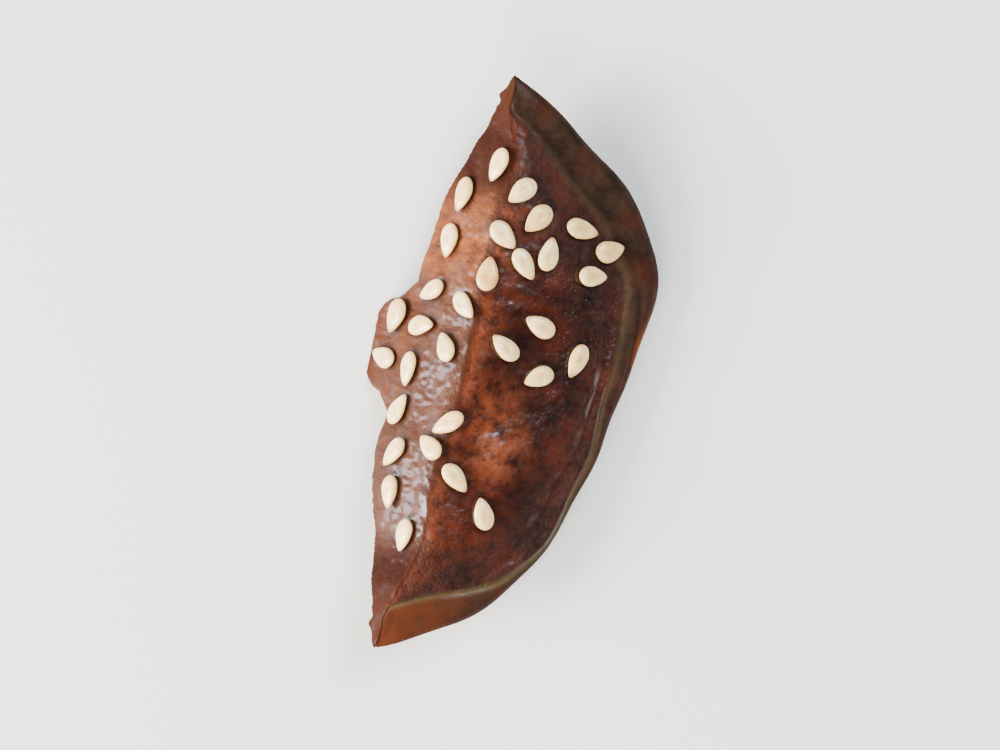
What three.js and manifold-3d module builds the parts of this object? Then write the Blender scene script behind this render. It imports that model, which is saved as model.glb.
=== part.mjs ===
// Half of a braised shiitake mushroom with sesame seeds stuck to its glaze.
// Millimetres, +Z up. The half cap rests skin side up on the end of its trimmed stem and on its rim.
// +Y runs along the knife cut, +X from the cut towards the rim.
import * as THREE from 'three';
import { mergeVertices } from 'three/addons/utils/BufferGeometryUtils.js';
import Module from 'manifold-3d';

const wasm = await Module();
wasm.setup();

// Driving dimensions

const cap = {
  halfLength: 29.2, // of the oval outline, along the cut
  halfWidth: 25.4, // of the oval outline, away from the cut
  offCentre: 4.0, // how far the stem stands from the oval's middle, towards the rim
  crown: 2.9, // how far the crown stands above the crease that sets off the margin
  shoulder: 0.65, // how much of that fall comes just inside the crease
  creaseRadius: 26.2,
  marginFall: 0.5, // from the crease out to the edge
  rimRadius: 1.5, // of the rolled edge
  lipDrop: 0.8, // how far the rolled edge hangs below its own radius
};

const flesh = { atStem: 7.3, atRim: 5.0 }; // depth of the gill roots below the crown

const gills = {
  count: 80, // in the whole cap
  thickness: 0.7,
  deepest: 8.8, // depth of the free edges below the crown
  atRim: 6.2,
  root: 0.8, // how far a gill is buried in the flesh
  leastSpread: 0.15, // cosine of the widest angle from +X at which a gill outlives the knife
  behindCut: 4.0, // where the gills stop at mid-length, out from the cut's upper edge
  drawnIn: THREE.MathUtils.degToRad(4.8), // how much sooner they stop towards both ends
};

const stem = { radius: 4.4, flare: 6.6, flareDepth: 8.4, length: 10.5, endRadius: 1.7 };

const cut = { fromAxis: 6.0, slant: THREE.MathUtils.degToRad(33) }; // the knife leans over the cap
const lean = THREE.MathUtils.degToRad(12); // the half leans from its stem down to its rim
const floorTrim = 0.9; // how much of the lowest rim and stem end is pressed flat

// Where the rim bulges outwards, in radians round the stem from +X.
const lobe = { at: 0.5, widthAbove: 0.46, widthBelow: 0.33, size: 3.5 };
const swell = { at: -0.72, width: 0.45, size: 1.3 };
const wave = { ripple: 0.3, dent: 0.3, endCurl: 1.9, sag: 0.7, sagWidth: 0.55 };
const thinEnd = { at: 1.42, width: 0.3, share: 0.6 }; // both ends of the rim thin towards the cut

const seed = { length: 3.3, width: 1.95, thickness: 0.9, tip: 0.42, gap: 0.14 };

// Where each seed lies: across from the cut's upper edge, along the cut, and its turn in degrees.
const seedPlaces = [
  // on the skin, near the far end
  [-0.9, 18.5, 74], [1.6, 16.6, 49], [0.9, 12.3, -36], [3.3, 10.2, -46],
  [3.6, 14.5, 54], [5.3, 11.5, 89], [7.6, 14.5, 4], [10.6, 13.2, 22], [9.6, 10.6, 9],
  // on the crown
  [0.5, 8.4, 94], [6.2, 5.0, -16], [3.5, 2.3, -28], [7.2, 0.5, 32], [10.2, 2.8, 76],
  // along the cut's upper edge
  [-1.0, 5.2, -24], [-1.6, 1.0, -41], [0.0, -5.6, 29], [-0.7, -8.2, -21], [1.9, -10.3, -36],
  [5.2, -13.0, -61], [-1.4, -16.5, 89],
  // on the cut face and the stem
  [-3.4, 15.2, 84], [-3.8, 10.8, 99], [-4.1, 5.9, 24], [-4.4, 2.5, 10], [-6.8, 2.9, 76],
  [-7.1, -1.2, -6], [-4.5, -1.6, 94], [-4.6, -5.6, 60], [-3.8, -9.4, 49], [-3.4, -13.0, 104],
];

const capSegments = 96;
const colours = { mushroom: 0x5e3017, seed: 0xf0dcae };

// Solids

// A three.js geometry as a manifold solid, with its shared vertices merged.
function solidOf(geometry) {
  const bare = geometry.clone();
  bare.deleteAttribute('normal');
  bare.deleteAttribute('uv');
  const merged = mergeVertices(bare, 1e-4);
  const vertProperties = new Float32Array(merged.attributes.position.array);
  const triVerts = new Uint32Array(merged.index.array);
  return new wasm.Manifold(new wasm.Mesh({ numProp: 3, vertProperties, triVerts }));
}

function geometryOf(solid) {
  const mesh = solid.getMesh();
  const geometry = new THREE.BufferGeometry();
  geometry.setAttribute('position', new THREE.BufferAttribute(new Float32Array(mesh.vertProperties), 3));
  geometry.setIndex(new THREE.BufferAttribute(new Uint32Array(mesh.triVerts), 1));
  geometry.computeVertexNormals();
  return geometry;
}

// Mushroom

// Height of the skin at a distance from the stem axis, with the crown's top at 0.
function skinHeight(radius) {
  const share = Math.min(radius / cap.creaseRadius, 1);
  const dome = cap.crown * THREE.MathUtils.lerp(share ** 2, share ** 8, cap.shoulder);
  const margin = Math.max(0, (radius - cap.creaseRadius) / (cap.halfLength - cap.creaseRadius));
  return -dome - cap.marginFall * margin ** 2;
}

// How far out a radius is, from 0 where the stem flares to 1 at the rim.
function shareOut(radius) {
  return THREE.MathUtils.clamp((radius - stem.flare) / (cap.halfLength - stem.flare), 0, 1);
}

// Height of the flesh that the gills grow from.
function rootHeight(radius) {
  return -THREE.MathUtils.lerp(flesh.atStem, flesh.atRim, shareOut(radius) ** 2);
}

// Height of the gills' free edges: deepest between the stem and the middle, rising to the rim.
function edgeHeight(radius) {
  return -THREE.MathUtils.lerp(gills.deepest, gills.atRim, shareOut(radius) ** 2);
}

// Half of the cap and stem in section, from the crown out round the rolled rim and down the stem.
function bodyOutline() {
  const points = [];
  const skinSteps = 18;
  const skinEnd = cap.halfLength - cap.rimRadius * 0.5;
  for (let i = 0; i <= skinSteps; i++) {
    const radius = skinEnd * Math.sin((i / skinSteps) * Math.PI / 2);
    points.push(new THREE.Vector2(radius, skinHeight(radius)));
  }
  const shoulder = skinHeight(skinEnd) - cap.rimRadius * 0.87;
  const centre = new THREE.Vector2(cap.halfLength - cap.rimRadius, shoulder);
  const outer = new THREE.EllipseCurve(centre.x, centre.y, cap.rimRadius, cap.rimRadius, Math.PI / 4, 0, true);
  const roll = new THREE.EllipseCurve(
    centre.x, centre.y - cap.lipDrop, cap.rimRadius, cap.rimRadius, 0, -Math.PI * 1.05, true,
  );
  points.push(...outer.getPoints(2), ...roll.getPoints(7));
  const inside = centre.x - cap.rimRadius - 0.6;
  for (let i = 0; i <= 7; i++) {
    const radius = THREE.MathUtils.lerp(inside, stem.flare, i / 7);
    points.push(new THREE.Vector2(radius, rootHeight(radius)));
  }
  points.push(new THREE.Vector2(stem.radius + 0.4, -stem.flareDepth));
  const endCentre = new THREE.Vector2(stem.radius - stem.endRadius, stem.endRadius - stem.length);
  const stemEnd = new THREE.EllipseCurve(
    endCentre.x, endCentre.y, stem.endRadius, stem.endRadius, 0, -Math.PI / 2, true,
  );
  points.push(...stemEnd.getPoints(4));
  points.push(new THREE.Vector2(0, -stem.length));
  return points;
}

// One gill as a thin upright blade, reaching in from the rim as far as its inner radius.
function gillBlade(innerRadius, angle) {
  const outerRadius = cap.halfLength - 2 * cap.rimRadius + 0.3;
  const steps = 6;
  const outline = [];
  for (let i = 0; i <= steps; i++) {
    const radius = THREE.MathUtils.lerp(innerRadius, outerRadius, i / steps);
    outline.push(new THREE.Vector2(radius, rootHeight(radius) + gills.root));
  }
  for (let i = steps; i > 0; i--) {
    const radius = THREE.MathUtils.lerp(innerRadius, outerRadius, i / steps);
    outline.push(new THREE.Vector2(radius, edgeHeight(radius)));
  }
  if (innerRadius < stem.flare) outline.push(new THREE.Vector2(innerRadius, edgeHeight(innerRadius)));
  const shape = new THREE.Shape(outline);
  const blade = new THREE.ExtrudeGeometry(shape, { depth: gills.thickness, bevelEnabled: false });
  blade.translate(0, 0, -gills.thickness / 2);
  blade.rotateX(Math.PI / 2);
  blade.rotateZ(angle);
  return blade;
}

// The cap and stem without gills, round and even, with the stem axis on Z.
function evenCap() {
  const lathe = new THREE.LatheGeometry(bodyOutline().reverse(), capSegments);
  return lathe.rotateX(Math.PI / 2);
}

// Long gills from the stem and short ones between them, under the part of the cap that is kept.
function evenGills() {
  const shortGill = THREE.MathUtils.lerp(stem.flare, cap.halfLength, 0.4);
  const blades = [];
  for (let i = 0; i < gills.count; i++) {
    const angle = ((i + 0.5) / gills.count) * 2 * Math.PI;
    if (Math.cos(angle) < gills.leastSpread) continue;
    const innerRadius = i % 2 ? stem.radius + 0.2 : shortGill;
    blades.push(solidOf(gillBlade(innerRadius, angle)));
  }
  return geometryOf(wasm.Manifold.union(blades));
}

const bell = (x) => Math.exp(-x * x);

// Distance from the stem axis to the oval outline in one direction.
function ovalRadius(angle) {
  const across = Math.cos(angle) / cap.halfWidth;
  const along = Math.sin(angle) / cap.halfLength;
  const shift = cap.offCentre / cap.halfWidth;
  const square = across ** 2 + along ** 2;
  return (Math.sqrt((across * shift) ** 2 + square * (1 - shift ** 2)) - across * shift) / square;
}

// Makes the even cap oval, with a lobe and ripples in its rim and thin ends that curl up,
// and moves its axis off the cut.
function unevenPoint(point) {
  const angle = Math.atan2(point.y, point.x);
  const radius = Math.hypot(point.x, point.y);
  const share = radius / cap.halfLength;
  const off = angle - lobe.at;
  const bulge = lobe.size * bell(off / (off > 0 ? lobe.widthAbove : lobe.widthBelow)) * share ** 7;
  const ripple = wave.ripple * (Math.sin(3 * angle + 0.6) + 0.7 * Math.sin(7 * angle + 2.1));
  const swelling = swell.size * bell((angle - swell.at) / swell.width);
  const oval = (ovalRadius(angle) - cap.halfLength) * THREE.MathUtils.smoothstep(share, 0.1, 0.7);
  const spread = 1 + (oval + bulge + (ripple + swelling) * share ** 3) / cap.halfLength;
  const atEnd = bell((Math.abs(angle) - thinEnd.at) / thinEnd.width) * Math.min(share, 1) ** 4;
  const thinned = (skinHeight(radius) - point.z) * thinEnd.share * atEnd;
  const sag = wave.sag * bell(angle / wave.sagWidth) * share ** 3;
  const curl = wave.endCurl * (point.y / cap.halfLength) ** 2;
  const dents = wave.dent * Math.sin(0.24 * point.x + 1) * Math.cos(0.2 * point.y + 0.4) * (1 - share ** 4);
  return new THREE.Vector3(
    point.x * spread - cut.fromAxis,
    point.y * spread,
    point.z + curl + sag + dents + thinned,
  );
}

function bend(geometry, moved) {
  const positions = geometry.attributes.position;
  for (let i = 0; i < positions.count; i++) {
    const point = moved(new THREE.Vector3().fromBufferAttribute(positions, i));
    positions.setXYZ(i, point.x, point.y, point.z);
  }
  return geometry;
}

// Everything on one side of the slanted knife cut, as a box to take away.
function cutAway() {
  const size = 4 * cap.halfLength;
  return new THREE.BoxGeometry(size, size, size).translate(-size / 2, 0, 0).rotateY(cut.slant);
}

// The gills have shrunk back behind the cut face, each half of them to an upright plane.
function gillsAway(turn) {
  const size = 4 * cap.halfLength;
  return new THREE.BoxGeometry(size, size, size).translate(-size / 2 - gills.behindCut, 0, 0).rotateZ(turn);
}

function halfMushroom() {
  let grown = solidOf(bend(evenGills(), unevenPoint));
  for (const turn of [-gills.drawnIn, gills.drawnIn]) grown = grown.subtract(solidOf(gillsAway(turn)));
  grown = grown.add(solidOf(bend(evenCap(), unevenPoint)));
  const half = geometryOf(largestBody(grown.subtract(solidOf(cutAway()))));
  half.rotateY(lean);
  const rim = lowestPoint(half, (x) => x > 0);
  half.translate(0, 0, -rim - floorTrim);
  const size = 4 * cap.halfLength;
  const belowFloor = new THREE.BoxGeometry(size, size, size).translate(0, 0, -size / 2);
  const settled = geometryOf(solidOf(half).subtract(solidOf(belowFloor)));
  const material = new THREE.MeshStandardMaterial({ color: colours.mushroom, roughness: 0.3, metalness: 0 });
  const mesh = new THREE.Mesh(settled, material);
  mesh.name = 'mushroom_half';
  return mesh;
}

// The knife can free slivers of gill, which are dropped.
function largestBody(solid) {
  return solid.decompose().reduce((most, body) => (body.volume() > most.volume() ? body : most));
}

// Height of the lowest vertex whose x passes the test.
function lowestPoint(geometry, passes) {
  const positions = geometry.attributes.position;
  let lowest = Infinity;
  for (let i = 0; i < positions.count; i++) {
    if (passes(positions.getX(i))) lowest = Math.min(lowest, positions.getZ(i));
  }
  return lowest;
}

// Sesame seeds

// A flat drop: round at one end and drawn in to a tip at the other.
function seedGeometry() {
  const geometry = new THREE.SphereGeometry(0.5, 10, 6);
  geometry.rotateZ(-Math.PI / 2);
  return bend(geometry, (point) => {
    const towardsTip = point.x + 0.5;
    const narrowing = 1 - seed.tip * towardsTip ** 1.6;
    return new THREE.Vector3(
      point.x * seed.length,
      point.y * seed.width * narrowing * 1.08,
      point.z * seed.thickness * narrowing * 1.04,
    );
  });
}

// Lays a seed on whatever is straight below its place, turned as asked and flat on that surface.
function seedOn(surface, place, index) {
  const [across, along, turn] = place;
  const ray = new THREE.Raycaster(new THREE.Vector3(across, along, 100), new THREE.Vector3(0, 0, -1));
  const [hit] = ray.intersectObject(surface);
  const normal = hit.face.normal.clone();
  const heading = THREE.MathUtils.degToRad(turn);
  const pointing = new THREE.Vector3(Math.cos(heading), Math.sin(heading), 0);
  const lengthways = pointing.sub(normal.clone().multiplyScalar(pointing.dot(normal))).normalize();
  const sideways = new THREE.Vector3().crossVectors(normal, lengthways);
  const material = new THREE.MeshStandardMaterial({ color: colours.seed, roughness: 0.5, metalness: 0 });
  const mesh = new THREE.Mesh(seedGeometry(), material);
  mesh.name = 'sesame_seed_' + String(index + 1).padStart(2, '0');
  mesh.quaternion.setFromRotationMatrix(new THREE.Matrix4().makeBasis(lengthways, sideways, normal));
  mesh.position.copy(hit.point).addScaledVector(normal, seed.thickness / 2 + seed.gap);
  return mesh;
}

// Assembly

const mushroom = halfMushroom();
const seeds = seedPlaces.map((place, index) => seedOn(mushroom, place, index));

const pieces = new THREE.Group();
pieces.add(mushroom, ...seeds);

// The origin is the middle of the outline, on the surface that the half rests on.
const outline = new THREE.Box3().setFromObject(pieces, true);
const middle = outline.getCenter(new THREE.Vector3());
pieces.position.set(-middle.x, -middle.y, -outline.min.z);

const part = new THREE.Group();
part.add(pieces);

export default part;
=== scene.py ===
# Finished looks for the braised shiitake half and its sesame seeds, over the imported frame.
# Shapes are worked in millimetres and turned into metres as each mesh is made.
import math

import bmesh
import bpy
import numpy as np
from mathutils import Matrix, Vector, noise
from mathutils.bvhtree import BVHTree


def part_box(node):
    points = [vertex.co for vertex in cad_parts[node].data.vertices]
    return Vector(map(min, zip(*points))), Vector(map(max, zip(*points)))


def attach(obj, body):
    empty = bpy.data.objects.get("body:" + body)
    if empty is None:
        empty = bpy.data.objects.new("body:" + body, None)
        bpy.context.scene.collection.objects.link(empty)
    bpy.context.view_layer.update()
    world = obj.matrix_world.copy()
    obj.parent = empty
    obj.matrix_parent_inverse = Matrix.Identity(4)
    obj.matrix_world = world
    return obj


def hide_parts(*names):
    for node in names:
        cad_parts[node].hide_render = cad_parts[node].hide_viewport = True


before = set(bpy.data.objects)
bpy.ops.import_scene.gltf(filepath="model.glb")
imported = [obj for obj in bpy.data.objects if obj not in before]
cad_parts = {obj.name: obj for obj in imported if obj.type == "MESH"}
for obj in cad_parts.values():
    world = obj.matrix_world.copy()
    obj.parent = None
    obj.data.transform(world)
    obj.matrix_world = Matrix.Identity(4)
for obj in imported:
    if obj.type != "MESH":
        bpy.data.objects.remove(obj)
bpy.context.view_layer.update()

scene = bpy.context.scene
mm = 0.001


# colours are given as screen values, 0 to 255, and the shaders want them linear
def tint(red, green, blue):
    shares = [value / 255 for value in (red, green, blue)]
    linear = [v / 12.92 if v <= 0.04045 else ((v + 0.055) / 1.055) ** 2.4 for v in shares]
    return (*linear, 1.0)


# 1 at the middle, fading out to both sides
def bell(x, middle=0.0, width=1.0):
    off = (x - middle) / width
    return np.exp(-off * off)


# eases from 0 at low to 1 at high, which may be the smaller of the two
def smooth(x, low, high):
    t = np.clip((x - low) / (high - low), 0, 1)
    return t * t * (3 - 2 * t)


# lumpy noise from -1 to 1 at many points, with features about this many mm across
def lumps(points, size, start=0.0):
    return np.array([noise.noise(Vector(p)) for p in points / size + start])


# the mushroom: a whole cap is turned, made uneven, cut and laid down
cap = {
    "halfLength": 29.2, "halfWidth": 25.4, "offCentre": 4.0,
    "crown": 2.9, "shoulder": 0.65, "creaseRadius": 26.2, "marginFall": 0.5,
    "rimRadius": 1.5, "lipDrop": 0.8,
    "fleshAtStem": 7.3, "fleshAtRim": 5.0,
    "stemRadius": 4.4, "stemFlare": 6.6, "stemFlareDepth": 8.4, "stemLength": 10.5, "stemEndRadius": 1.7,
    "cutFromAxis": 6.0, "cutSlant": math.radians(33), "lean": math.radians(12),
    "lobeAt": 0.50, "lobeAbove": 0.46, "lobeBelow": 0.33, "lobeSize": 3.5,
    "swellAt": -0.72, "swellWidth": 0.45, "swellSize": 1.3,
    "ripple": 0.3, "fineRipple": 0.12, "dent": 0.3, "endCurl": 1.9, "sag": 0.7, "sagWidth": 0.55,
    "thinAt": 1.42, "thinWidth": 0.3, "thinShare": 0.6, "lipThinner": 0.2,
    "ridgeWorn": (0.5, 0.34, 0.5),  # mm planed off the sharp ridge by each of three facets
    "turns": 360, "voxel": 0.15,
}
rimAt = cap["halfLength"]


def skinHeight(radius):
    share = np.clip(radius / cap["creaseRadius"], 0, 1)
    dome = cap["crown"] * (share ** 2 + (share ** 8 - share ** 2) * cap["shoulder"])
    margin = np.clip((radius - cap["creaseRadius"]) / (rimAt - cap["creaseRadius"]), 0, 1.2)
    return -dome - cap["marginFall"] * margin ** 2


# from 0 where the stem flares to 1 at the rim
def shareOut(radius):
    return np.clip((radius - cap["stemFlare"]) / (rimAt - cap["stemFlare"]), 0, 1)


def rootHeight(radius):
    return -(cap["fleshAtStem"] + (cap["fleshAtRim"] - cap["fleshAtStem"]) * shareOut(radius) ** 2)


# the section from the crown round the rim and down the stem, and how many of its points are skin
def sectionLine():
    roll = cap["rimRadius"]
    skinEnd = rimAt - roll * 0.5
    r = skinEnd * np.sin(np.linspace(0, math.pi / 2, 110))
    skin = np.column_stack([r, skinHeight(r)])
    rollX, rollZ = rimAt - roll, skin[-1, 1] - roll * 0.87
    a = np.linspace(math.radians(50), 0, 8)
    outer = np.column_stack([rollX + roll * np.cos(a), rollZ + roll * np.sin(a)])
    a = np.linspace(0, -1.05 * math.pi, 30)
    inner = np.column_stack([rollX + roll * np.cos(a), rollZ - cap["lipDrop"] + roll * np.sin(a)])
    r = np.linspace(rollX - roll - 0.6, cap["stemFlare"], 50)
    under = np.column_stack([r, rootHeight(r)])
    s, e = cap["stemRadius"], cap["stemEndRadius"]
    flare = np.array([[s + 0.4, -cap["stemFlareDepth"]]])
    a = np.linspace(0, -math.pi / 2, 10)
    stem = np.column_stack([s - e + e * np.cos(a), e - cap["stemLength"] + e * np.sin(a)])
    end = np.array([[0.0, -cap["stemLength"]]])
    return np.vstack([skin, outer, inner, under, flare, stem, end]), len(skin) + 25


def ovalReach(angle):
    across, along = np.cos(angle) / cap["halfWidth"], np.sin(angle) / cap["halfLength"]
    shift = cap["offCentre"] / cap["halfWidth"]
    square = across ** 2 + along ** 2
    return (np.sqrt((across * shift) ** 2 + square * (1 - shift ** 2)) - across * shift) / square


def lobe(angle):
    width = np.where(angle > cap["lobeAt"], cap["lobeAbove"], cap["lobeBelow"])
    return cap["lobeSize"] * bell(angle, cap["lobeAt"], width)


# how many times further out than on an even round cap
def spreadAt(radius, angle):
    share = radius / rimAt
    oval = (ovalReach(angle) - rimAt) * smooth(share, 0.1, 0.7)
    broad = np.sin(3 * angle + 0.6) + 0.7 * np.sin(7 * angle + 2.1)
    ripple = cap["ripple"] * broad + cap["fineRipple"] * np.sin(17 * angle)
    ripple = ripple + cap["swellSize"] * bell(angle, cap["swellAt"], cap["swellWidth"])
    return 1 + (oval + lobe(angle) * share ** 7 + ripple * share ** 3) / rimAt


def liftAt(x, y):
    angle, share = np.arctan2(y, x), np.hypot(x, y) / rimAt
    sag = cap["sag"] * bell(angle, 0.0, cap["sagWidth"]) * share ** 3
    dents = cap["dent"] * np.sin(0.24 * x + 1) * np.cos(0.2 * y + 0.4) * (1 - share ** 4)
    return cap["endCurl"] * (y / rimAt) ** 2 + sag + dents


# the two cut-off ends of the rim are thinner than the rest
def thinningAt(x, y):
    angle, share = np.arctan2(y, x), np.hypot(x, y) / rimAt
    atEnd = bell(np.abs(angle), cap["thinAt"], cap["thinWidth"])
    thinner = cap["thinShare"] * np.minimum(share, 1) ** 4 + cap["lipThinner"] * smooth(share, 0.88, 0.96)
    return atEnd * thinner


def makeUneven(p):
    spread = spreadAt(np.hypot(p[:, 0], p[:, 1]), np.arctan2(p[:, 1], p[:, 0]))
    lift = liftAt(p[:, 0], p[:, 1])
    lift = lift + (skinHeight(np.hypot(p[:, 0], p[:, 1])) - p[:, 2]) * thinningAt(p[:, 0], p[:, 1])
    return np.column_stack([p[:, 0] * spread - cap["cutFromAxis"], p[:, 1] * spread, p[:, 2] + lift])


# back from the uneven cap to the even one: radius, direction and height for each point
def evenAgain(p):
    x, y = p[:, 0] + cap["cutFromAxis"], p[:, 1]
    angle, reach = np.arctan2(y, x), np.hypot(x, y)
    radius = reach.copy()
    for _ in range(24):  # the spread depends on the radius sought, so it is closed in on
        radius = 0.5 * (radius + reach / spreadAt(np.minimum(radius, rimAt * 1.05), angle))
    x, y = radius * np.cos(angle), radius * np.sin(angle)
    skin, height, thinning = skinHeight(radius), p[:, 2] - liftAt(x, y), thinningAt(x, y)
    return radius, angle, skin + (height - skin) / (1 - thinning)


def leanOver(p, back=False):
    c, s = math.cos(cap["lean"]), math.sin(cap["lean"]) * (-1 if back else 1)
    return np.column_stack([p[:, 0] * c + p[:, 2] * s, p[:, 1], p[:, 2] * c - p[:, 0] * s])


# cuts a closed mesh with a plane, drops the side the normal points to and closes it again
def sliceOff(bm, point, normal):
    everything = bm.verts[:] + bm.edges[:] + bm.faces[:]
    bmesh.ops.bisect_plane(bm, geom=everything, dist=1e-5, plane_co=point, plane_no=normal, clear_outer=True)
    openEdges = [e for e in bm.edges if e.is_boundary]
    bmesh.ops.holes_fill(bm, edges=openEdges, sides=0)


cutNormal = Vector((-math.cos(cap["cutSlant"]), 0, math.sin(cap["cutSlant"])))


def turnCap():
    line, _ = sectionLine()
    n, turns = len(line) - 2, cap["turns"]
    ring = line[1:-1]
    a = np.arange(turns) * 2 * math.pi / turns
    p = np.empty((turns, n, 3))
    p[..., 0] = np.cos(a)[:, None] * ring[None, :, 0]
    p[..., 1] = np.sin(a)[:, None] * ring[None, :, 0]
    p[..., 2] = ring[None, :, 1]
    p = np.vstack([p.reshape(-1, 3), [[0, 0, line[0, 1]], [0, 0, line[-1, 1]]]])
    faces = []
    for i in range(turns):
        j = (i + 1) % turns
        faces += [(i * n + k, i * n + k + 1, j * n + k + 1, j * n + k) for k in range(n - 1)]
        faces += [(turns * n, i * n, j * n), (turns * n + 1, j * n + n - 1, i * n + n - 1)]
    return makeUneven(p), faces


def meshArrays(mesh):
    co = np.empty(len(mesh.vertices) * 3)
    mesh.vertices.foreach_get("co", co)
    return co.reshape(-1, 3), [tuple(f.vertices) for f in mesh.polygons]


def vertexNormals(mesh):
    n = np.empty(len(mesh.vertices) * 3)
    mesh.vertices.foreach_get("normal", n)
    return n.reshape(-1, 3)


def remeshed(mesh, voxel, soften):
    obj = bpy.data.objects.new("raw", mesh)
    scene.collection.objects.link(obj)
    even = obj.modifiers.new("even", "REMESH")
    even.mode, even.voxel_size = "VOXEL", voxel
    soft = obj.modifiers.new("soft", "SMOOTH")
    soft.factor, soft.iterations = 0.5, soften
    made = bpy.data.meshes.new_from_object(obj.evaluated_get(bpy.context.evaluated_depsgraph_get()))
    bpy.data.objects.remove(obj)
    return made


points, faces = turnCap()
points = leanOver(points)
nodeLow, nodeHigh = (np.array(v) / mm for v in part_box("mushroom_half"))
rough = bpy.data.meshes.new("rough")
rough.from_pydata(points.tolist(), [], faces)
bm = bmesh.new()
bm.from_mesh(rough)
leanTurn = Matrix.Rotation(cap["lean"], 3, "Y")
sliceOff(bm, (0, 0, 0), leanTurn @ cutNormal)
floorAt = max(v.co.z for v in bm.verts) - nodeHigh[2]
for share, worn in zip((0.5, 1.0, 2.0), cap["ridgeWorn"]):
    ridgeNormal = leanTurn @ (cutNormal * share + Vector((0, 0, 1))).normalized()
    sliceOff(bm, ridgeNormal * -worn * min(share, 1 / share) ** 0.5, ridgeNormal)
sliceOff(bm, (0, 0, floorAt), (0, 0, -1))
bmesh.ops.recalc_face_normals(bm, faces=bm.faces)
bm.to_mesh(rough)
bm.free()
body = remeshed(rough, cap["voxel"], 16)
bodyPoints, bodyFaces = meshArrays(body)
bodyNormals = vertexNormals(body)
print("mushroom turned, cut and laid down:", len(bodyPoints), "points")


# the lighter margin that a crease sets off from the skin; its places are angles round the cap
marginLook = {
    "narrower": 0.7, "narrowerAtSwell": 1.2, "swellAt": -0.62, "swellWidth": 0.42,
    "widerAtTip": 1.6, "tipAt": -1.3, "tipWidth": 0.3,
    "widerAtTop": 1.3, "topAt": 1.1, "topWidth": 0.38,
    "wobble": 0.25, "creaseDepth": 0.16, "creaseWidth": 0.24, "creaseLineWidth": 0.26,
    "lip": 0.06, "lipIn": 0.5, "lipWidth": 0.35, "smoother": 0.75,
    "foldDepth": 0.3, "foldOut": 0.85, "foldWidth": 0.2, "foldAt": 0.25, "foldLength": 0.19,
    "streakOut": 1.6, "streakWidth": 0.35, "streakAt": 0.22, "streakLength": 0.15,
    "tanAt": -1.35, "tanLength": 0.24,
}

# a relief is its height, the size of its features and where its noise starts
skinLook = {
    "dents": (0.17, 5.5, 0.0), "wrinkles": (0.055, 1.5, 7.0), "pits": (0.03, 0.55, 9.0),
    "creping": 0.05, "crepingSize": 1.0, "edgeDrawnIn": 0.12,
}
cutLook = {
    "waves": (0.13, 2.6, 4.0), "fibres": (0.05, 0.5, 6.0), "stem": 0.28,
    "waver": 0.6, "waverSize": 6.5, "waverReach": 4.5, "jagged": (0.2, 2.0, 15.0),
}
underLook = {"lumps": (0.08, 1.2, 2.0), "stem": 0.3, "stemSize": 2.4}
edgeLook = {"fine": (0.26, 1.1, 5.0), "broad": (0.5, 3.6, 2.0), "margin": (0.12, 0.9, 1.0)}

# where each region starts to come in and where it is full, in mm
comesIn = {
    "skin": (0.5, 0.2), "thinEnd": (22.5, 26.5), "cutFace": (1.1, 0.2), "belowSkin": (0.25, 0.85),
    "margin": (0.2, -0.2), "nearStem": (7.0, 5.2), "downStem": (4.6, 6.4), "offFloor": (0.02, 0.5),
    "pitsToCrease": (8.0, 1.0), "pitsToTip": (6, 13), "crepingToTip": (0, 9), "skinEdge": (1.3, 0.0),
}
beadsAt = {"lowEnd": (-17, 5.5), "ridge": (0.6, 1.0), "cutFace": (-8, 8.0)}


# where each point of the surface lies on the cap
def regionsOf(p):
    grown = leanOver(p, back=True)
    cutGap = grown[:, 0] * math.cos(cap["cutSlant"]) - grown[:, 2] * math.sin(cap["cutSlant"])
    radius, angle, height = evenAgain(grown)
    line, skinCount = sectionLine()
    skinLine = line[:skinCount]
    depth = np.empty(len(p))
    batch = 20000  # points measured at once, to spare memory
    for i in range(0, len(p), batch):
        part = np.column_stack([radius, height])[i:i + batch]
        depth[i:i + batch] = np.sqrt(((part[:, None] - skinLine[None]) ** 2).sum(2).min(1))
    look = marginLook
    inward = ovalReach(angle) / rimAt * (cap["creaseRadius"] - radius)  # mm in from an even crease
    creaseAt = look["widerAtTip"] * bell(angle, look["tipAt"], look["tipWidth"]) - look["narrower"]
    creaseAt = creaseAt + look["widerAtTop"] * bell(angle, look["topAt"], look["topWidth"])
    creaseAt = creaseAt - look["narrowerAtSwell"] * bell(angle, look["swellAt"], look["swellWidth"])
    return {
        "radius": radius, "angle": angle, "height": height, "depth": depth, "cutGap": cutGap,
        "fromCrease": inward - creaseAt, "grown": grown,
    }


def relief(points, look):
    height, size, start = look
    return height * lumps(points, size, start)


# how much each point belongs to each region, from 0 to 1
at = regionsOf(bodyPoints)
g = at["grown"]
up = g[:, 1]  # towards the upper tip
onSkin = smooth(at["depth"], *comesIn["skin"])
ragged = relief(g, edgeLook["fine"]) + relief(g, edgeLook["broad"])  # the skin ends unevenly along the cut
thinEnd = smooth(at["radius"], *comesIn["thinEnd"])
onCut = smooth(at["cutGap"] + ragged, *comesIn["cutFace"])
onCut = onCut * smooth(at["depth"] + 0.6 * ragged, *comesIn["belowSkin"]) * (1 - thinEnd)
onMargin = smooth(at["fromCrease"] + relief(g, edgeLook["margin"]), *comesIn["margin"]) * onSkin
onStem = smooth(at["radius"], *comesIn["nearStem"]) * smooth(-at["height"], *comesIn["downStem"])
pitted = smooth(at["fromCrease"], *comesIn["pitsToCrease"]) + 0.8 * smooth(up, *comesIn["pitsToTip"])
pitted = np.clip(pitted, 0, 1) * (1 - onMargin)
beaded = bell(up, *beadsAt["lowEnd"]) + 0.8 * bell(at["cutGap"], *beadsAt["ridge"])
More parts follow.
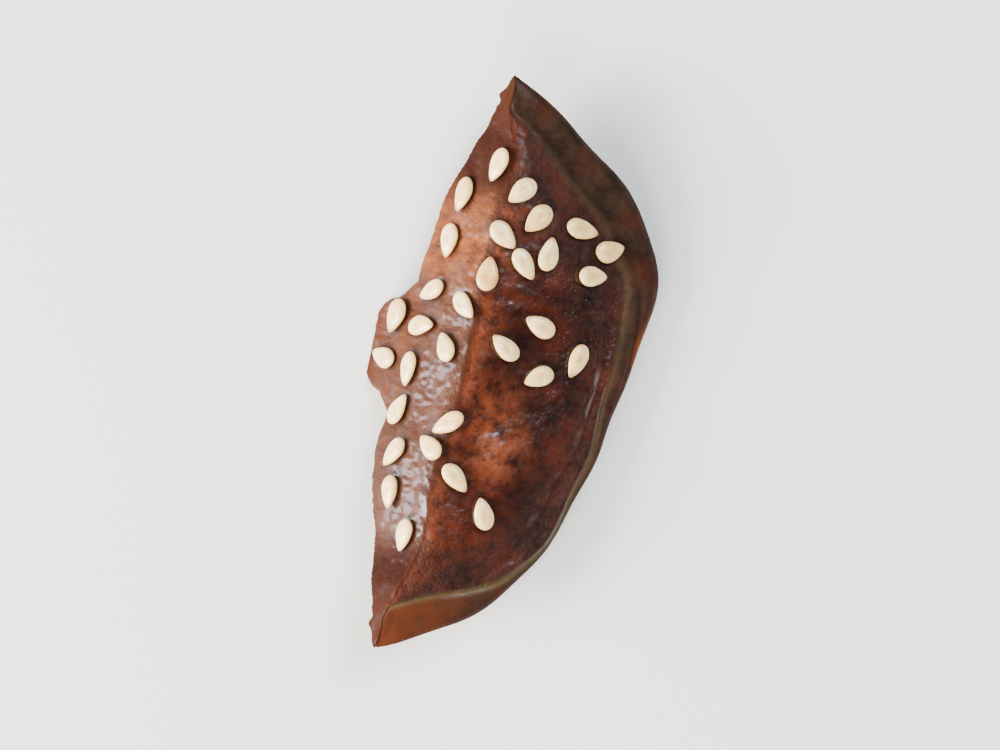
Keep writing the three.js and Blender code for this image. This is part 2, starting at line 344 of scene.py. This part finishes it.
beaded += 0.8 * bell(up, *beadsAt["cutFace"]) * onCut
beaded = np.clip(beaded, 0, 1) * (1 - onMargin)
resting = smooth(bodyPoints[:, 2] - floorAt, *comesIn["offFloor"])

# the crease, the lip beside it and the fold in the lobe
nearCrease = at["fromCrease"] + marginLook["wobble"] * lumps(g, 5.0, 3.0)
crease = bell(nearCrease, 0.0, marginLook["creaseWidth"])
lip = bell(nearCrease, marginLook["lipIn"], marginLook["lipWidth"])
foldLine = at["fromCrease"] + marginLook["foldOut"] + 0.25 * np.sin(at["angle"] * 9)
fold = bell(foldLine, 0.0, marginLook["foldWidth"])
fold *= bell(at["angle"], marginLook["foldAt"], marginLook["foldLength"])

# how far each point moves along its normal, in mm
skinMove = relief(g, skinLook["dents"]) + relief(g, skinLook["wrinkles"]) + relief(g, skinLook["pits"])
creping = lumps(g * np.array([0.5, 1.6, 1]), skinLook["crepingSize"], 8.0)
skinMove += skinLook["creping"] * (creping * (0.35 + 0.65 * smooth(up, *comesIn["crepingToTip"])))
skinMove = skinMove * (1 - marginLook["smoother"] * onMargin)
skinMove += marginLook["lip"] * lip - marginLook["creaseDepth"] * crease - marginLook["foldDepth"] * fold
stemLumps = lumps(g, underLook["stemSize"], 8.0)
cutMove = relief(g * np.array([1, 0.6, 1]), cutLook["waves"])
cutMove += relief(g * np.array([1, 1, 0.35]), cutLook["fibres"])
cutMove += cutLook["stem"] * onStem * stemLumps
underMove = relief(g, underLook["lumps"]) + underLook["stem"] * onStem * stemLumps
move = onCut * cutMove + (1 - onCut) * (onSkin * skinMove + (1 - onSkin) * underMove)
skinEdge = smooth(at["cutGap"], *comesIn["skinEdge"])
move -= skinLook["edgeDrawnIn"] * skinEdge * onSkin * (1 - onCut)  # it is drawn in by the cut
bodyPoints = bodyPoints + bodyNormals * (move * resting)[:, None]

# the knife has not run quite straight
alongCut = g * np.array([0.15, 1, 0.15])
waver = cutLook["waver"] * (0.5 + lumps(alongCut, cutLook["waverSize"], 12.0))
waver += relief(alongCut, cutLook["jagged"])
waver *= smooth(at["cutGap"], cutLook["waverReach"], 0.0) * (1 - thinEnd) * resting
bodyPoints[:, 0] += waver
print("skin, margin and cut face shaped")


# gills: thin blades in four lengths, cut with the rest
gill = {
    "count": 240, "thickness": 0.27, "deepest": 8.8, "atRim": 6.2, "buried": 0.7,
    "sway": 0.2, "ragged": 0.2, "along": 30, "down": 5, "edgeThinner": 0.55, "intoRim": 0.35,
    "innerEnds": (17.0, 11.5, 20.5), "endsVary": 0.8, "anglesVary": 0.18, "tipsVary": 0.12,
    "shortRise": 2.5, "leastSpread": 0.15, "insideCut": 0.12, "offFloor": 0.02,
    "behindCut": 3.2, "drawnIn": math.radians(5.8),
}


def gillBlades():
    rng = np.random.default_rng(11)
    bm = bmesh.new()
    outer = rimAt - 2 * cap["rimRadius"] + gill["intoRim"]
    inners = [cap["stemRadius"] + 0.1, *gill["innerEnds"]]  # one blade in four runs to the stem
    for i in range(gill["count"]):
        angle = (i + 0.5 + gill["anglesVary"] * rng.standard_normal()) / gill["count"] * 2 * math.pi
        if math.cos(angle) < gill["leastSpread"]:
            continue
        inner = inners[i % 4] + gill["endsVary"] * rng.standard_normal() * (i % 4 > 0)
        r = np.linspace(inner, outer, gill["along"])
        edge = -(gill["deepest"] + (gill["atRim"] - gill["deepest"]) * shareOut(r) ** 2)
        top = rootHeight(r) + gill["buried"]
        shortFade = smooth(r, inner, inner + gill["shortRise"]) if i % 4 else np.ones_like(r)
        edge = top + (edge - top) * (0.35 + 0.65 * shortFade)
        edge = edge + gill["ragged"] * (np.sin(r * 3.1 + i) * 0.5 + 0.5 * rng.standard_normal(len(r)))
        phase, tip = rng.uniform(0, 6.3), rng.normal(0, gill["tipsVary"])
        sides = []
        for side in (-1, 1):
            rows = []
            for k in range(gill["down"]):
                t = k / (gill["down"] - 1)
                z = top + (edge - top) * t
                half = gill["thickness"] / 2 * (1 - gill["edgeThinner"] * t ** 3)
                across = side * half + gill["sway"] * np.sin(r * 0.55 + phase) * t + tip * t
                x = r * math.cos(angle) - across * math.sin(angle)
                y = r * math.sin(angle) + across * math.cos(angle)
                rows.append(np.column_stack([x, y, z]))
            sides.append(np.stack(rows))
        p = np.stack(sides)
        flat = leanOver(makeUneven(p.reshape(-1, 3)))
        v = np.array([bm.verts.new(c) for c in flat.tolist()], dtype=object).reshape(p.shape[:3])
        d, a = gill["down"], gill["along"]
        for k in range(d - 1):
            for m in range(a - 1):
                bm.faces.new((v[0, k, m], v[0, k + 1, m], v[0, k + 1, m + 1], v[0, k, m + 1]))
                bm.faces.new((v[1, k, m + 1], v[1, k + 1, m + 1], v[1, k + 1, m], v[1, k, m]))
        for m in range(a - 1):
            bm.faces.new((v[0, 0, m], v[0, 0, m + 1], v[1, 0, m + 1], v[1, 0, m]))
            bm.faces.new((v[0, -1, m + 1], v[0, -1, m], v[1, -1, m], v[1, -1, m + 1]))
        for k in range(d - 1):
            bm.faces.new((v[0, k + 1, 0], v[0, k, 0], v[1, k, 0], v[1, k + 1, 0]))
            bm.faces.new((v[0, k, -1], v[0, k + 1, -1], v[1, k + 1, -1], v[1, k, -1]))
    sliceOff(bm, leanTurn @ (cutNormal * -gill["insideCut"]), leanTurn @ cutNormal)
    for turn in (-gill["drawnIn"], gill["drawnIn"]):  # the gills have shrunk back behind the cut face
        backNormal = Matrix.Rotation(turn, 3, "Z") @ Vector((-1, 0, 0))
        sliceOff(bm, leanTurn @ (backNormal * gill["behindCut"]), leanTurn @ backNormal)
    sliceOff(bm, (0, 0, floorAt + gill["offFloor"]), (0, 0, -1))
    bmesh.ops.recalc_face_normals(bm, faces=bm.faces)
    mesh = bpy.data.meshes.new("gills")
    bm.to_mesh(mesh)
    bm.free()
    return meshArrays(mesh)


gillPoints, gillFaces = gillBlades()
print("gills made:", len(gillPoints), "points")

# one mesh from both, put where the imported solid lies
allPoints = np.vstack([bodyPoints, gillPoints])
shift = np.array([
    nodeHigh[0] - bodyPoints[:, 0].max(),
    (nodeLow[1] + nodeHigh[1] - bodyPoints[:, 1].max() - bodyPoints[:, 1].min()) / 2,
    -floorAt,
])
allPoints = np.clip(allPoints + shift, nodeLow, nodeHigh)
mushroomMesh = bpy.data.meshes.new("braisedShiitake")
offset = len(bodyPoints)
allFaces = bodyFaces + [tuple(i + offset for i in f) for f in gillFaces]
mushroomMesh.from_pydata((allPoints * mm).tolist(), [], allFaces)
mushroomMesh.polygons.foreach_set("use_smooth", [True] * len(mushroomMesh.polygons))
mushroomMesh.polygons.foreach_set("material_index", [0] * len(bodyFaces) + [1] * len(gillFaces))
mushroom = bpy.data.objects.new("braisedShiitake", mushroomMesh)
scene.collection.objects.link(mushroom)


# values for the materials to read, for the body's points and for the gills'
def paint(name, bodyValues, gillValues=0.0):
    parts = [np.broadcast_to(bodyValues, len(bodyPoints)), np.broadcast_to(gillValues, len(gillPoints))]
    made = mushroomMesh.attributes.new(name, "FLOAT", "POINT")
    made.data.foreach_set("value", np.concatenate(parts).astype(np.float32))


# where the skin is painted lighter and redder, reddish sauce with a painted soft highlight: across, along,
# size, strength
ruddySheenSpots = [
    (2.5, -4.5, 3.2, 1.0), (4.5, -7.5, 2.6, 0.8), (-1.5, 11.0, 3.0, 0.9),
    (0.5, 3.0, 2.0, 0.5), (-2.0, -14.0, 3.0, 0.5),
]
across = g[:, 0] - 1.0
ruddySheen = sum(w * bell(np.hypot(across - x, up - y) / s) for x, y, s, w in ruddySheenSpots)

# where the wet cut face glares, where its glaze has dried dull and where it is pale
wetLook = {
    "glareUpper": (-3, 10.0), "glareLower": (-13, 6.0), "glareFrom": (-19.5, -16.0), "glareDeep": (5.8, 3.6),
    "dryUp": (8.0, 13.0), "dryDown": (-1.0, -5.0), "dryToCrease": (6.0, 3.0), "dryLow": 0.8,
    "upperEnd": (13.5, 18.0), "lowerEnd": (-16.0, -19.5), "palePatch": (10.5, 4.2),
}
gillAt = regionsOf(gillPoints)
creaseShows = 0.45 + 0.55 * smooth(at["angle"], 0.2, -0.5)
glare = bell(up, *wetLook["glareUpper"]) + bell(up, *wetLook["glareLower"])
glare = glare * smooth(up, *wetLook["glareFrom"]) * smooth(at["depth"], *wetLook["glareDeep"])
dryLow = wetLook["dryLow"] * smooth(up, *wetLook["dryDown"])
dryLow = dryLow * smooth(at["fromCrease"], *wetLook["dryToCrease"])
tip = bell(at["angle"], marginLook["tanAt"], marginLook["tanLength"])
streakLine = at["fromCrease"] + marginLook["streakOut"] + 0.2 * np.sin(at["angle"] * 21)
streak = bell(streakLine, 0.0, marginLook["streakWidth"])
streak *= bell(at["angle"], marginLook["streakAt"], marginLook["streakLength"])

paint("onMargin", onMargin)
paint("onCut", onCut, smooth(gillAt["cutGap"], 0.3, 0.15))
paint("onUnder", (1 - onSkin) * (1 - onCut), 1.0)
paint("depth", at["depth"], gillAt["depth"])
paint("crease", bell(nearCrease, 0.0, marginLook["creaseLineWidth"]) * onSkin * creaseShows)
paint("ruddySheen", ruddySheen)
paint("onStem", onStem)
paint("pitted", pitted)
paint("beaded", beaded)
paint("ridge", bell(at["cutGap"], 0.5, 1.5) * onSkin)
paint("glare", glare)
paint("dry", np.clip(smooth(up, *wetLook["dryUp"]) + dryLow, 0, 1))
paint("knifeSide", smooth(at["cutGap"] + ragged, 0.9, 0.1))
paint("farEnds", np.maximum(smooth(up, *wetLook["upperEnd"]), smooth(up, *wetLook["lowerEnd"])))
paint("palePatch", bell(up, *wetLook["palePatch"]))
paint("tan", tip * onMargin)
paint("streak", streak * onMargin)
paint("fold", fold * onMargin)
paint("gillEdge", 0.0, smooth(-gillAt["height"], 5.5, 7.5))


# materials
class Shader:
    def __init__(self, name):
        self.material = bpy.data.materials.new(name)
        self.material.use_nodes = True
        self.tree = self.material.node_tree
        self.bsdf = self.tree.nodes["Principled BSDF"]
        self.place = self.add("ShaderNodeTexCoord").outputs["Object"]

    def add(self, kind, **settings):
        node = self.tree.nodes.new(kind)
        for key, value in settings.items():
            setattr(node, key, value)
        return node

    def put(self, value, socket):
        if isinstance(value, bpy.types.NodeSocket):
            self.tree.links.new(value, socket)
        else:
            socket.default_value = value

    def painted(self, name):
        return self.add("ShaderNodeAttribute", attribute_name=name).outputs["Fac"]

    # noise with features this many mm across
    def grain(self, size, detail=3.0, roughness=0.55, stretch=None):
        where = self.place
        if stretch:
            turned = self.add("ShaderNodeMapping")
            self.put(where, turned.inputs["Vector"])
            turned.inputs["Scale"].default_value = stretch
            where = turned.outputs["Vector"]
        node = self.add("ShaderNodeTexNoise")
        self.put(where, node.inputs["Vector"])
        node.inputs["Scale"].default_value = 1 / (size * mm)
        node.inputs["Detail"].default_value = detail
        node.inputs["Roughness"].default_value = roughness
        return node.outputs["Fac"]

    def cells(self, size):
        node = self.add("ShaderNodeTexVoronoi")
        self.put(self.place, node.inputs["Vector"])
        node.inputs["Scale"].default_value = 1 / (size * mm)
        return node.outputs["Distance"]

    # colours along a value, each stop a place and a colour
    def steps(self, value, *stops):
        node = self.add("ShaderNodeValToRGB")
        self.put(value, node.inputs["Fac"])
        ramp = node.color_ramp
        while len(ramp.elements) < len(stops):
            ramp.elements.new(0.5)
        for element, (spot, colour) in zip(ramp.elements, stops):
            element.position = spot
            element.color = colour
        return node.outputs["Color"]

    def spread(self, value, low, high, toLow=0.0, toHigh=1.0):
        node = self.add("ShaderNodeMapRange")
        for socket, number in zip(node.inputs, (value, low, high, toLow, toHigh)):
            self.put(number, socket)
        return node.outputs["Result"]

    def math(self, kind, a, b):
        node = self.add("ShaderNodeMath", operation=kind)
        self.put(a, node.inputs[0])
        self.put(b, node.inputs[1])
        return node.outputs[0]

    def times(self, a, b):
        return self.math("MULTIPLY", a, b)

    def plus(self, a, b):
        return self.math("ADD", a, b)

    def most(self, a, b):
        return self.math("MAXIMUM", a, b)

    def blend(self, amount, a, b):
        node = self.add("ShaderNodeMix", data_type="RGBA")
        self.put(amount, node.inputs["Factor"])  # inputs 6 and 7 and output 2 are its colours
        self.put(a, node.inputs[6])
        self.put(b, node.inputs[7])
        return node.outputs[2]

    def bump(self, height, strength, depth, under=None):
        node = self.add("ShaderNodeBump")
        node.inputs["Strength"].default_value = strength
        node.inputs["Distance"].default_value = depth * mm
        self.put(height, node.inputs["Height"])
        if under:
            self.put(under, node.inputs["Normal"])
        return node.outputs["Normal"]

    # sets the surface's inputs, named with _ for each space
    def finish(self, **sockets):
        for name, value in sockets.items():
            self.put(value, self.bsdf.inputs[name.replace("_", " ")])
        return self.material


flesh = {
    "skinDark": tint(15, 6, 4), "skinMid": tint(52, 18, 8), "skinLight": tint(80, 31, 13),
    "sauceShadow": tint(26, 9, 5), "ruddySheen": tint(118, 58, 32), "greySheen": tint(62, 38, 32),
    "ridge": tint(92, 42, 19),
    "margin": tint(30, 18, 11), "marginLight": tint(52, 35, 24), "crease": tint(92, 79, 51),
    "tan": tint(86, 39, 15), "streak": tint(124, 60, 25),
    "cutEnd": tint(40, 14, 7), "cut": tint(78, 39, 17), "cutPale": tint(138, 74, 32),
    "cutStain": tint(60, 27, 12), "cutDark": tint(40, 17, 8),
    "stem": tint(92, 46, 20), "gill": tint(54, 27, 13), "gillEdge": tint(80, 41, 19),
}


def mushroomFlesh():
    m = Shader("braisedFlesh")
    broad, fine = m.grain(4.5, 3.0), m.grain(0.7, 4.0, 0.65)
    pitted, beaded, onMargin = m.painted("pitted"), m.painted("beaded"), m.painted("onMargin")

    # the skin
    browns = [flesh[shade] for shade in ("skinDark", "skinMid", "skinLight")]
    skin = m.steps(broad, *zip((0.32, 0.5, 0.7), browns))
    # lighter red patches on the skin: reddish sauce with a painted soft highlight
    ruddySheen = m.times(m.painted("ruddySheen"), m.spread(m.grain(2.6), 0.35, 0.6))
    skin = m.blend(ruddySheen, skin, flesh["ruddySheen"])
    ridge = m.times(m.painted("ridge"), m.spread(m.grain(1.3), 0.3, 0.6, 0.05, 0.5))
    skin = m.blend(ridge, skin, flesh["ridge"])
    skin = m.blend(m.spread(m.grain(1.2, 5.0, 0.7), 0.5, 0.6, 0.0, 0.6), skin, flesh["skinDark"])
    pits = m.spread(m.cells(0.42), 0.0, 0.5)
    # painted grey sheen over the pitted skin, near the crease and towards the upper tip
    skin = m.blend(m.times(pitted, m.spread(fine, 0.35, 0.65, 0.0, 0.5)), skin, flesh["greySheen"])
    # the pits darkened where the bump dents them: painted shade in the pits
    skin = m.blend(m.times(pitted, m.spread(pits, 0.0, 0.6, 0.7, 0.0)), skin, flesh["skinDark"])

    # the margin, set off by the crease
    edge = m.blend(m.spread(m.grain(1.6, 5.0, 0.7), 0.35, 0.65), flesh["margin"], flesh["marginLight"])
    edge = m.blend(m.spread(m.grain(3.5, 3.0), 0.45, 0.7, 0.0, 0.35), edge, flesh["skinLight"])
    tan = m.times(m.painted("tan"), m.spread(m.grain(1.8), 0.3, 0.6, 0.45, 0.9))
    edge = m.blend(tan, edge, flesh["tan"])
    streak = m.times(m.painted("streak"), m.spread(m.grain(0.9), 0.3, 0.6, 0.5, 1.0))
    edge = m.blend(streak, edge, flesh["streak"])
    # the fold in the lobe painted dark along its groove: painted shade in the fold
    edge = m.blend(m.times(m.painted("fold"), 0.85), edge, flesh["cutDark"])
    colour = m.blend(onMargin, skin, edge)
    # a lighter olive line painted along the crease, stronger on the lower side
    colour = m.blend(m.times(m.painted("crease"), 0.55), colour, flesh["crease"])

    # the cut face, the sauce and painted shadow round the seeds, and the underside
    inside = m.blend(m.painted("palePatch"), flesh["cut"], flesh["cutPale"])
    inside = m.blend(m.times(m.painted("onStem"), 0.8), inside, flesh["stem"])
    stain = m.spread(m.grain(1.5, 5.0, 0.6, (1, 1, 0.5)), 0.38, 0.66, 0.0, 0.9)
    inside = m.blend(stain, inside, flesh["cutStain"])
    darkEnds = m.times(m.painted("farEnds"), m.spread(broad, 0.2, 0.6, 0.5, 1.0))
    inside = m.blend(darkEnds, inside, flesh["cutEnd"])
    rind = m.spread(m.plus(m.painted("depth"), m.spread(fine, 0, 1, -0.3, 0.3)), 0.3, 1.1, 0.8, 0.0)
    inside = m.blend(rind, inside, flesh["cutDark"])
    colour = m.blend(m.painted("onCut"), colour, inside)
    # a dark ring under and round each seed: sauce gathered there, with painted shadow of the seed
    colour = m.blend(m.times(m.painted("sauceShadow"), 0.6), colour, flesh["sauceShadow"])
    colour = m.blend(m.painted("onUnder"), colour, m.blend(fine, flesh["gill"], flesh["cutStain"]))

    # pits, wrinkles, beads of sauce and fibres too fine for the mesh
    relief = m.bump(m.times(pits, m.spread(pitted, 0.0, 1.0, 0.25, 1.0)), 0.7, 0.1)
    relief = m.bump(m.times(fine, m.spread(onMargin, 0.0, 1.0, 1.0, 0.25)), 0.35, 0.12, relief)
    relief = m.bump(m.times(m.grain(0.22, 2.0), beaded), 0.5, 0.08, relief)
    fibres = m.grain(0.35, 5.0, 0.7, (1, 1, 0.35))
    relief = m.bump(m.times(fibres, m.painted("onCut")), 0.7, 0.16, relief)

    # how dull and rough each part is; the rest is wet with glaze
    dull = m.times(m.painted("knifeSide"), m.spread(m.painted("glare"), 0.0, 0.8, 0.9, 0.4))
    dull = m.most(dull, m.times(onMargin, 0.93))
    dullEnds = m.times(m.painted("farEnds"), m.painted("knifeSide"))
    dull = m.most(dull, m.times(dullEnds, 0.93))
    dull = m.most(dull, m.times(m.painted("dry"), m.spread(fine, 0.3, 0.65, 1.0, 0.75)))
    rough = m.spread(m.grain(0.9, 3.0), 0.3, 0.7, 0.24, 0.42)
    rough = m.plus(rough, m.times(onMargin, 0.26))
    rough = m.plus(rough, m.times(dull, 0.12))
    rough = m.plus(rough, m.times(dullEnds, 0.4))
    rough = m.plus(rough, m.times(m.painted("dry"), 0.2))
    return m.finish(
        Base_Color=colour, Roughness=rough, Normal=relief, Specular_IOR_Level=0.12,
        Coat_Weight=m.spread(dull, 0.0, 1.0, 1.0, 0.0), Coat_Roughness=0.16, Coat_IOR=1.38,
        Subsurface_Weight=0.08, Subsurface_Radius=(1.0, 0.35, 0.15), Subsurface_Scale=0.6 * mm,
    )


def gillFlesh():
    m = Shader("gillFlesh")
    fine = m.grain(0.5, 4.0, 0.6)
    # the lower free edges of the gills painted lighter: a painted highlight on the edges
    colour = m.blend(m.painted("gillEdge"), flesh["gill"], flesh["gillEdge"])
    colour = m.blend(m.spread(fine, 0.4, 0.75, 0.0, 0.6), colour, flesh["cutDark"])
    colour = m.blend(m.painted("onCut"), colour, flesh["cutStain"])
    return m.finish(
        Base_Color=colour, Roughness=m.spread(fine, 0.3, 0.7, 0.45, 0.7), Normal=m.bump(fine, 0.4, 0.08),
        Specular_IOR_Level=0.12, Coat_Weight=0.1, Coat_Roughness=0.3,
        Subsurface_Weight=0.15, Subsurface_Scale=0.8 * mm,
    )


mushroomMesh.materials.append(mushroomFlesh())
mushroomMesh.materials.append(gillFlesh())
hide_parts("mushroom_half")
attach(mushroom, "root")
print("mushroom finished:", len(mushroomMesh.polygons), "faces")


# sesame seeds, each laid on the flesh where its solid lies
seed = {
    "count": 31, "length": 3.2, "width": 1.82, "thickness": 0.92, "sink": 0.06,
    "around": 36, "along": 24, "sauceShadowReach": 1.55, "middle": 0.47,
    "taper": 0.5, "taperCurve": 1.7, "fullness": 1.12, "flatness": 0.85, "rim": 0.06, "rimWidth": 0.25,
    "varies": (0.05, 0.06, 0.05, 0.04),  # bend, thickness, width and length
    "dish": 0.22, "dishAt": 0.42, "dishLong": 0.18, "dishWide": 0.38,
    "ivory": tint(252, 228, 170), "cream": tint(242, 194, 112), "toasted": tint(216, 152, 76),
    "tip": tint(160, 104, 52), "edge": tint(214, 162, 88),
    "toastedOnes": {10: 0.9, 22: 0.45, 5: 0.35, 8: 0.3, 26: 0.4, 17: 0.2, 3: 0.15, 31: 0.25},
}
surface = BVHTree.FromPolygons([v.co for v in mushroomMesh.vertices], allFaces)


# lengthways from the round end to the tip, and the direction the seed faces, from its solid
def seedAxes(node):
    p = np.array([v.co for v in node.data.vertices])
    middle = p.mean(0)
    _, _, axes = np.linalg.svd(p - middle)
    lengthways, facing = axes[0], axes[2]
    along = (p - middle) @ lengthways
    if (along ** 3).sum() < 0:  # the tip reaches further from the mean than the round end
        lengthways = -lengthways
    if facing[2] < 0:
        facing = -facing
    return Vector(middle), Vector(lengthways), Vector(facing)


# the flesh under a seed and the way it faces there, from rays at the seed's middle, ends and sides
def layOn(middle, lengthways, facing):
    side = facing.cross(lengthways)
    normal, reach = Vector(), []
    for a, b in ((0, 0), (1, 0), (-1, 0), (0, 1), (0, -1)):
        start = middle + lengthways * (a * mm) + side * (b * 0.6 * mm) + facing * (3 * mm)
        hit, n, _, _ = surface.ray_cast(start, -facing, 8 * mm)
        if hit is None:
            continue
        normal += n * (1 if n.dot(facing) > 0.6 else 0.2)
        if a == 0:
            reach.append(hit)
    normal = normal.normalized() if normal.length else facing
    normal = (normal + facing * 0.6).normalized()
    spot = reach[0] if reach else middle
    return spot, normal


def seedMesh(name, rng):
    around, along = seed["around"], seed["along"]
    bend, *shares = [rng.normal(0, by) for by in seed["varies"]]
    fat, narrow, longer = [1 + share for share in shares]
    verts, faces, dished = [], [], []
    for i in range(along + 1):
        t = i / along
        u = (1 - math.cos(math.pi * t)) / 2
        oval = math.sqrt(max(0.0, 1 - (2 * u - 1) ** 2))
        profile = oval * (1 - seed["taper"] * u ** seed["taperCurve"]) * seed["fullness"]
        x = (u - seed["middle"]) * seed["length"] * longer
        if i in (0, along):
            verts.append((x, 0, 0))
            dished.append(0.0)
            continue
        for k in range(around):
            a = 2 * math.pi * k / around
            cy, cz = math.cos(a), math.sin(a)
            flat = abs(cz) ** seed["flatness"] * (1 if cz > 0 else -1)
            rim = 1 + seed["rim"] * math.exp(-((cz / seed["rimWidth"]) ** 2))
            y = cy * seed["width"] / 2 * profile * rim * narrow + bend * (u - 0.5) ** 2 * 4
            fromDish = ((u - seed["dishAt"]) / seed["dishLong"]) ** 2 + (cy * profile / seed["dishWide"]) ** 2
            dished.append(math.exp(-fromDish))
            z = flat * seed["thickness"] / 2 * profile * fat * (1 - seed["dish"] * dished[-1])
            lump = 0.03 * noise.noise(Vector((x, y, z)) * 1.6 + Vector((bend * 90, 0, 0)))
            verts.append((x, y * (1 + lump), z * (1 + 3 * lump)))
    last = len(verts) - 1
    for k in range(around):
        j = (k + 1) % around
        faces.append((0, 1 + j, 1 + k))
        faces.append((last, last - around + k, last - around + j))
        for i in range(along - 2):
            a = 1 + i * around
            faces.append((a + k, a + j, a + around + j, a + around + k))
    mesh = bpy.data.meshes.new(name)
    mesh.from_pydata([(x * mm, y * mm, z * mm) for x, y, z in verts], [], faces)
    mesh.polygons.foreach_set("use_smooth", [True] * len(mesh.polygons))
    painted = {
        "toTip": [x / seed["length"] + seed["middle"] for x, _, _ in verts],
        "atEdge": [max(0.0, 1 - abs(z) / (0.3 * seed["thickness"])) for _, _, z in verts],
        "inDish": dished,
    }
    for attribute, values in painted.items():
        mesh.attributes.new(attribute, "FLOAT", "POINT").data.foreach_set("value", values)
    return mesh


def seedCoat(name, toasting):
    m = Shader(name)
    mottled = m.grain(0.7, 4.0, 0.6)
    shell = m.steps(mottled, (0.3, seed["ivory"]), (0.7, seed["cream"]))
    if toasting:
        shell = m.blend(m.spread(m.grain(1.1), 0.3, 0.6, toasting * 0.5, toasting), shell, seed["toasted"])
    hollow = m.times(m.painted("inDish"), m.spread(mottled, 0.3, 0.7, 0.35, 0.75))
    shell = m.blend(hollow, shell, seed["edge"])
    shell = m.blend(m.times(m.painted("atEdge"), 0.65), shell, seed["edge"])
    shell = m.blend(m.spread(m.painted("toTip"), 0.84, 1.0, 0.0, 0.8), shell, seed["tip"])
    return m.finish(
        Base_Color=shell, Roughness=m.spread(mottled, 0.3, 0.7, 0.32, 0.5),
        Normal=m.bump(m.grain(0.3, 3.0), 0.25, 0.05), Coat_Weight=0.6, Coat_Roughness=0.14,
        Subsurface_Weight=0.3, Subsurface_Radius=(1.0, 0.8, 0.5), Subsurface_Scale=0.5 * mm,
    )


plainCoat = seedCoat("sesameCoat", 0.0)
bodyPlaced = allPoints[:len(bodyPoints)]
sauceShadow = np.zeros(len(bodyPlaced))  # how much sauce and painted seed shadow darken the flesh round the seeds
for number in range(1, seed["count"] + 1):
    nodeName = "sesame_seed_%02d" % number
    rng = np.random.default_rng(100 + number)
    middle, lengthways, facing = seedAxes(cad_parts[nodeName])
    spot, normal = layOn(middle, lengthways, facing)
    lengthways = (lengthways - normal * lengthways.dot(normal)).normalized()
    turn = Matrix((lengthways, normal.cross(lengthways), normal)).transposed().to_4x4()
    place = Matrix.Translation(spot + normal * ((seed["thickness"] / 2 - seed["sink"]) * mm)) @ turn
    near = (bodyPlaced - np.array(spot) / mm) @ np.array(turn.to_3x3())
    ring = np.hypot(near[:, 0] / seed["length"], near[:, 1] / seed["width"]) * 2
    sauceShadow = np.maximum(sauceShadow, smooth(ring, seed["sauceShadowReach"], 1.0) * (np.abs(near[:, 2]) < 1))
    mesh = seedMesh("sesame%02d" % number, rng)
    mesh.transform(place)
    piece = bpy.data.objects.new("sesame%02d" % number, mesh)
    scene.collection.objects.link(piece)
    toasting = seed["toastedOnes"].get(number, 0.0)
    mesh.materials.append(seedCoat("sesameCoat%02d" % number, toasting) if toasting else plainCoat)
    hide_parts(nodeName)
    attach(piece, "root")
paint("sauceShadow", sauceShadow)
print("sesame seeds laid on the glaze:", seed["count"])


# floor, lights and camera
studio = {
    "floor": tint(236, 233, 228), "floorDeep": tint(230, 227, 222), "world": tint(226, 228, 236),
    "worldStrength": 0.17, "sensor": 36, "viewHeight": 0.42, "framed": 0.070,
    "roll": math.radians(13.9), "aim": (0.0, 0.0, 0.004),
}
floorMesh = bpy.data.meshes.new("floor")
floorMesh.from_pydata([(-2, -2, 0), (2, -2, 0), (2, 2, 0), (-2, 2, 0)], [], [(0, 1, 2, 3)])
floor = bpy.data.objects.new("floor", floorMesh)
scene.collection.objects.link(floor)
paper = Shader("paleTable")
floorTone = paper.blend(paper.grain(60.0, 2.0), studio["floor"], studio["floorDeep"])
floorMesh.materials.append(paper.finish(Base_Color=floorTone, Roughness=0.7))

lamps = [  # name, from, size, watts, colour
    ("windowLeft", (-0.44, -0.20, 0.24), 0.26, 10.8, (1.0, 0.95, 0.90)),
    ("skyRight", (0.16, 0.26, 0.42), 0.30, 4.2, (0.84, 0.91, 1.0)),
    ("softFront", (-0.12, -0.40, 0.36), 0.46, 5.6, (1.0, 0.95, 0.88)),
    ("lowLeft", (-0.50, -0.10, 0.08), 0.16, 2.0, (0.94, 0.91, 1.0)),
]
for name, spot, size, watts, colour in lamps:
    lampData = bpy.data.lights.new(name, "AREA")
    lampData.shape, lampData.size, lampData.energy, lampData.color = "DISK", size, watts, colour
    lamp = bpy.data.objects.new(name, lampData)
    lamp.location = spot
    lamp.visible_camera = False
    lamp.rotation_euler = (Vector(studio["aim"]) - Vector(spot)).to_track_quat("-Z", "Y").to_euler()
    scene.collection.objects.link(lamp)

world = bpy.data.worlds.new("studioAir")
world.use_nodes = True
air = world.node_tree.nodes["Background"].inputs
air["Color"].default_value = studio["world"]
air["Strength"].default_value = studio["worldStrength"]
scene.world = world

cameraData = bpy.data.cameras.new("overhead")
cameraData.sensor_width = studio["sensor"]
cameraData.lens = studio["sensor"] * studio["viewHeight"] / (studio["framed"] * 4 / 3)
cameraData.clip_start, cameraData.clip_end = 0.01, 10
camera = bpy.data.objects.new("overhead", cameraData)
camera.location = (0, 0, studio["viewHeight"])
camera.rotation_euler = (0, 0, studio["roll"])
scene.collection.objects.link(camera)
scene.camera = camera
print("studio ready")
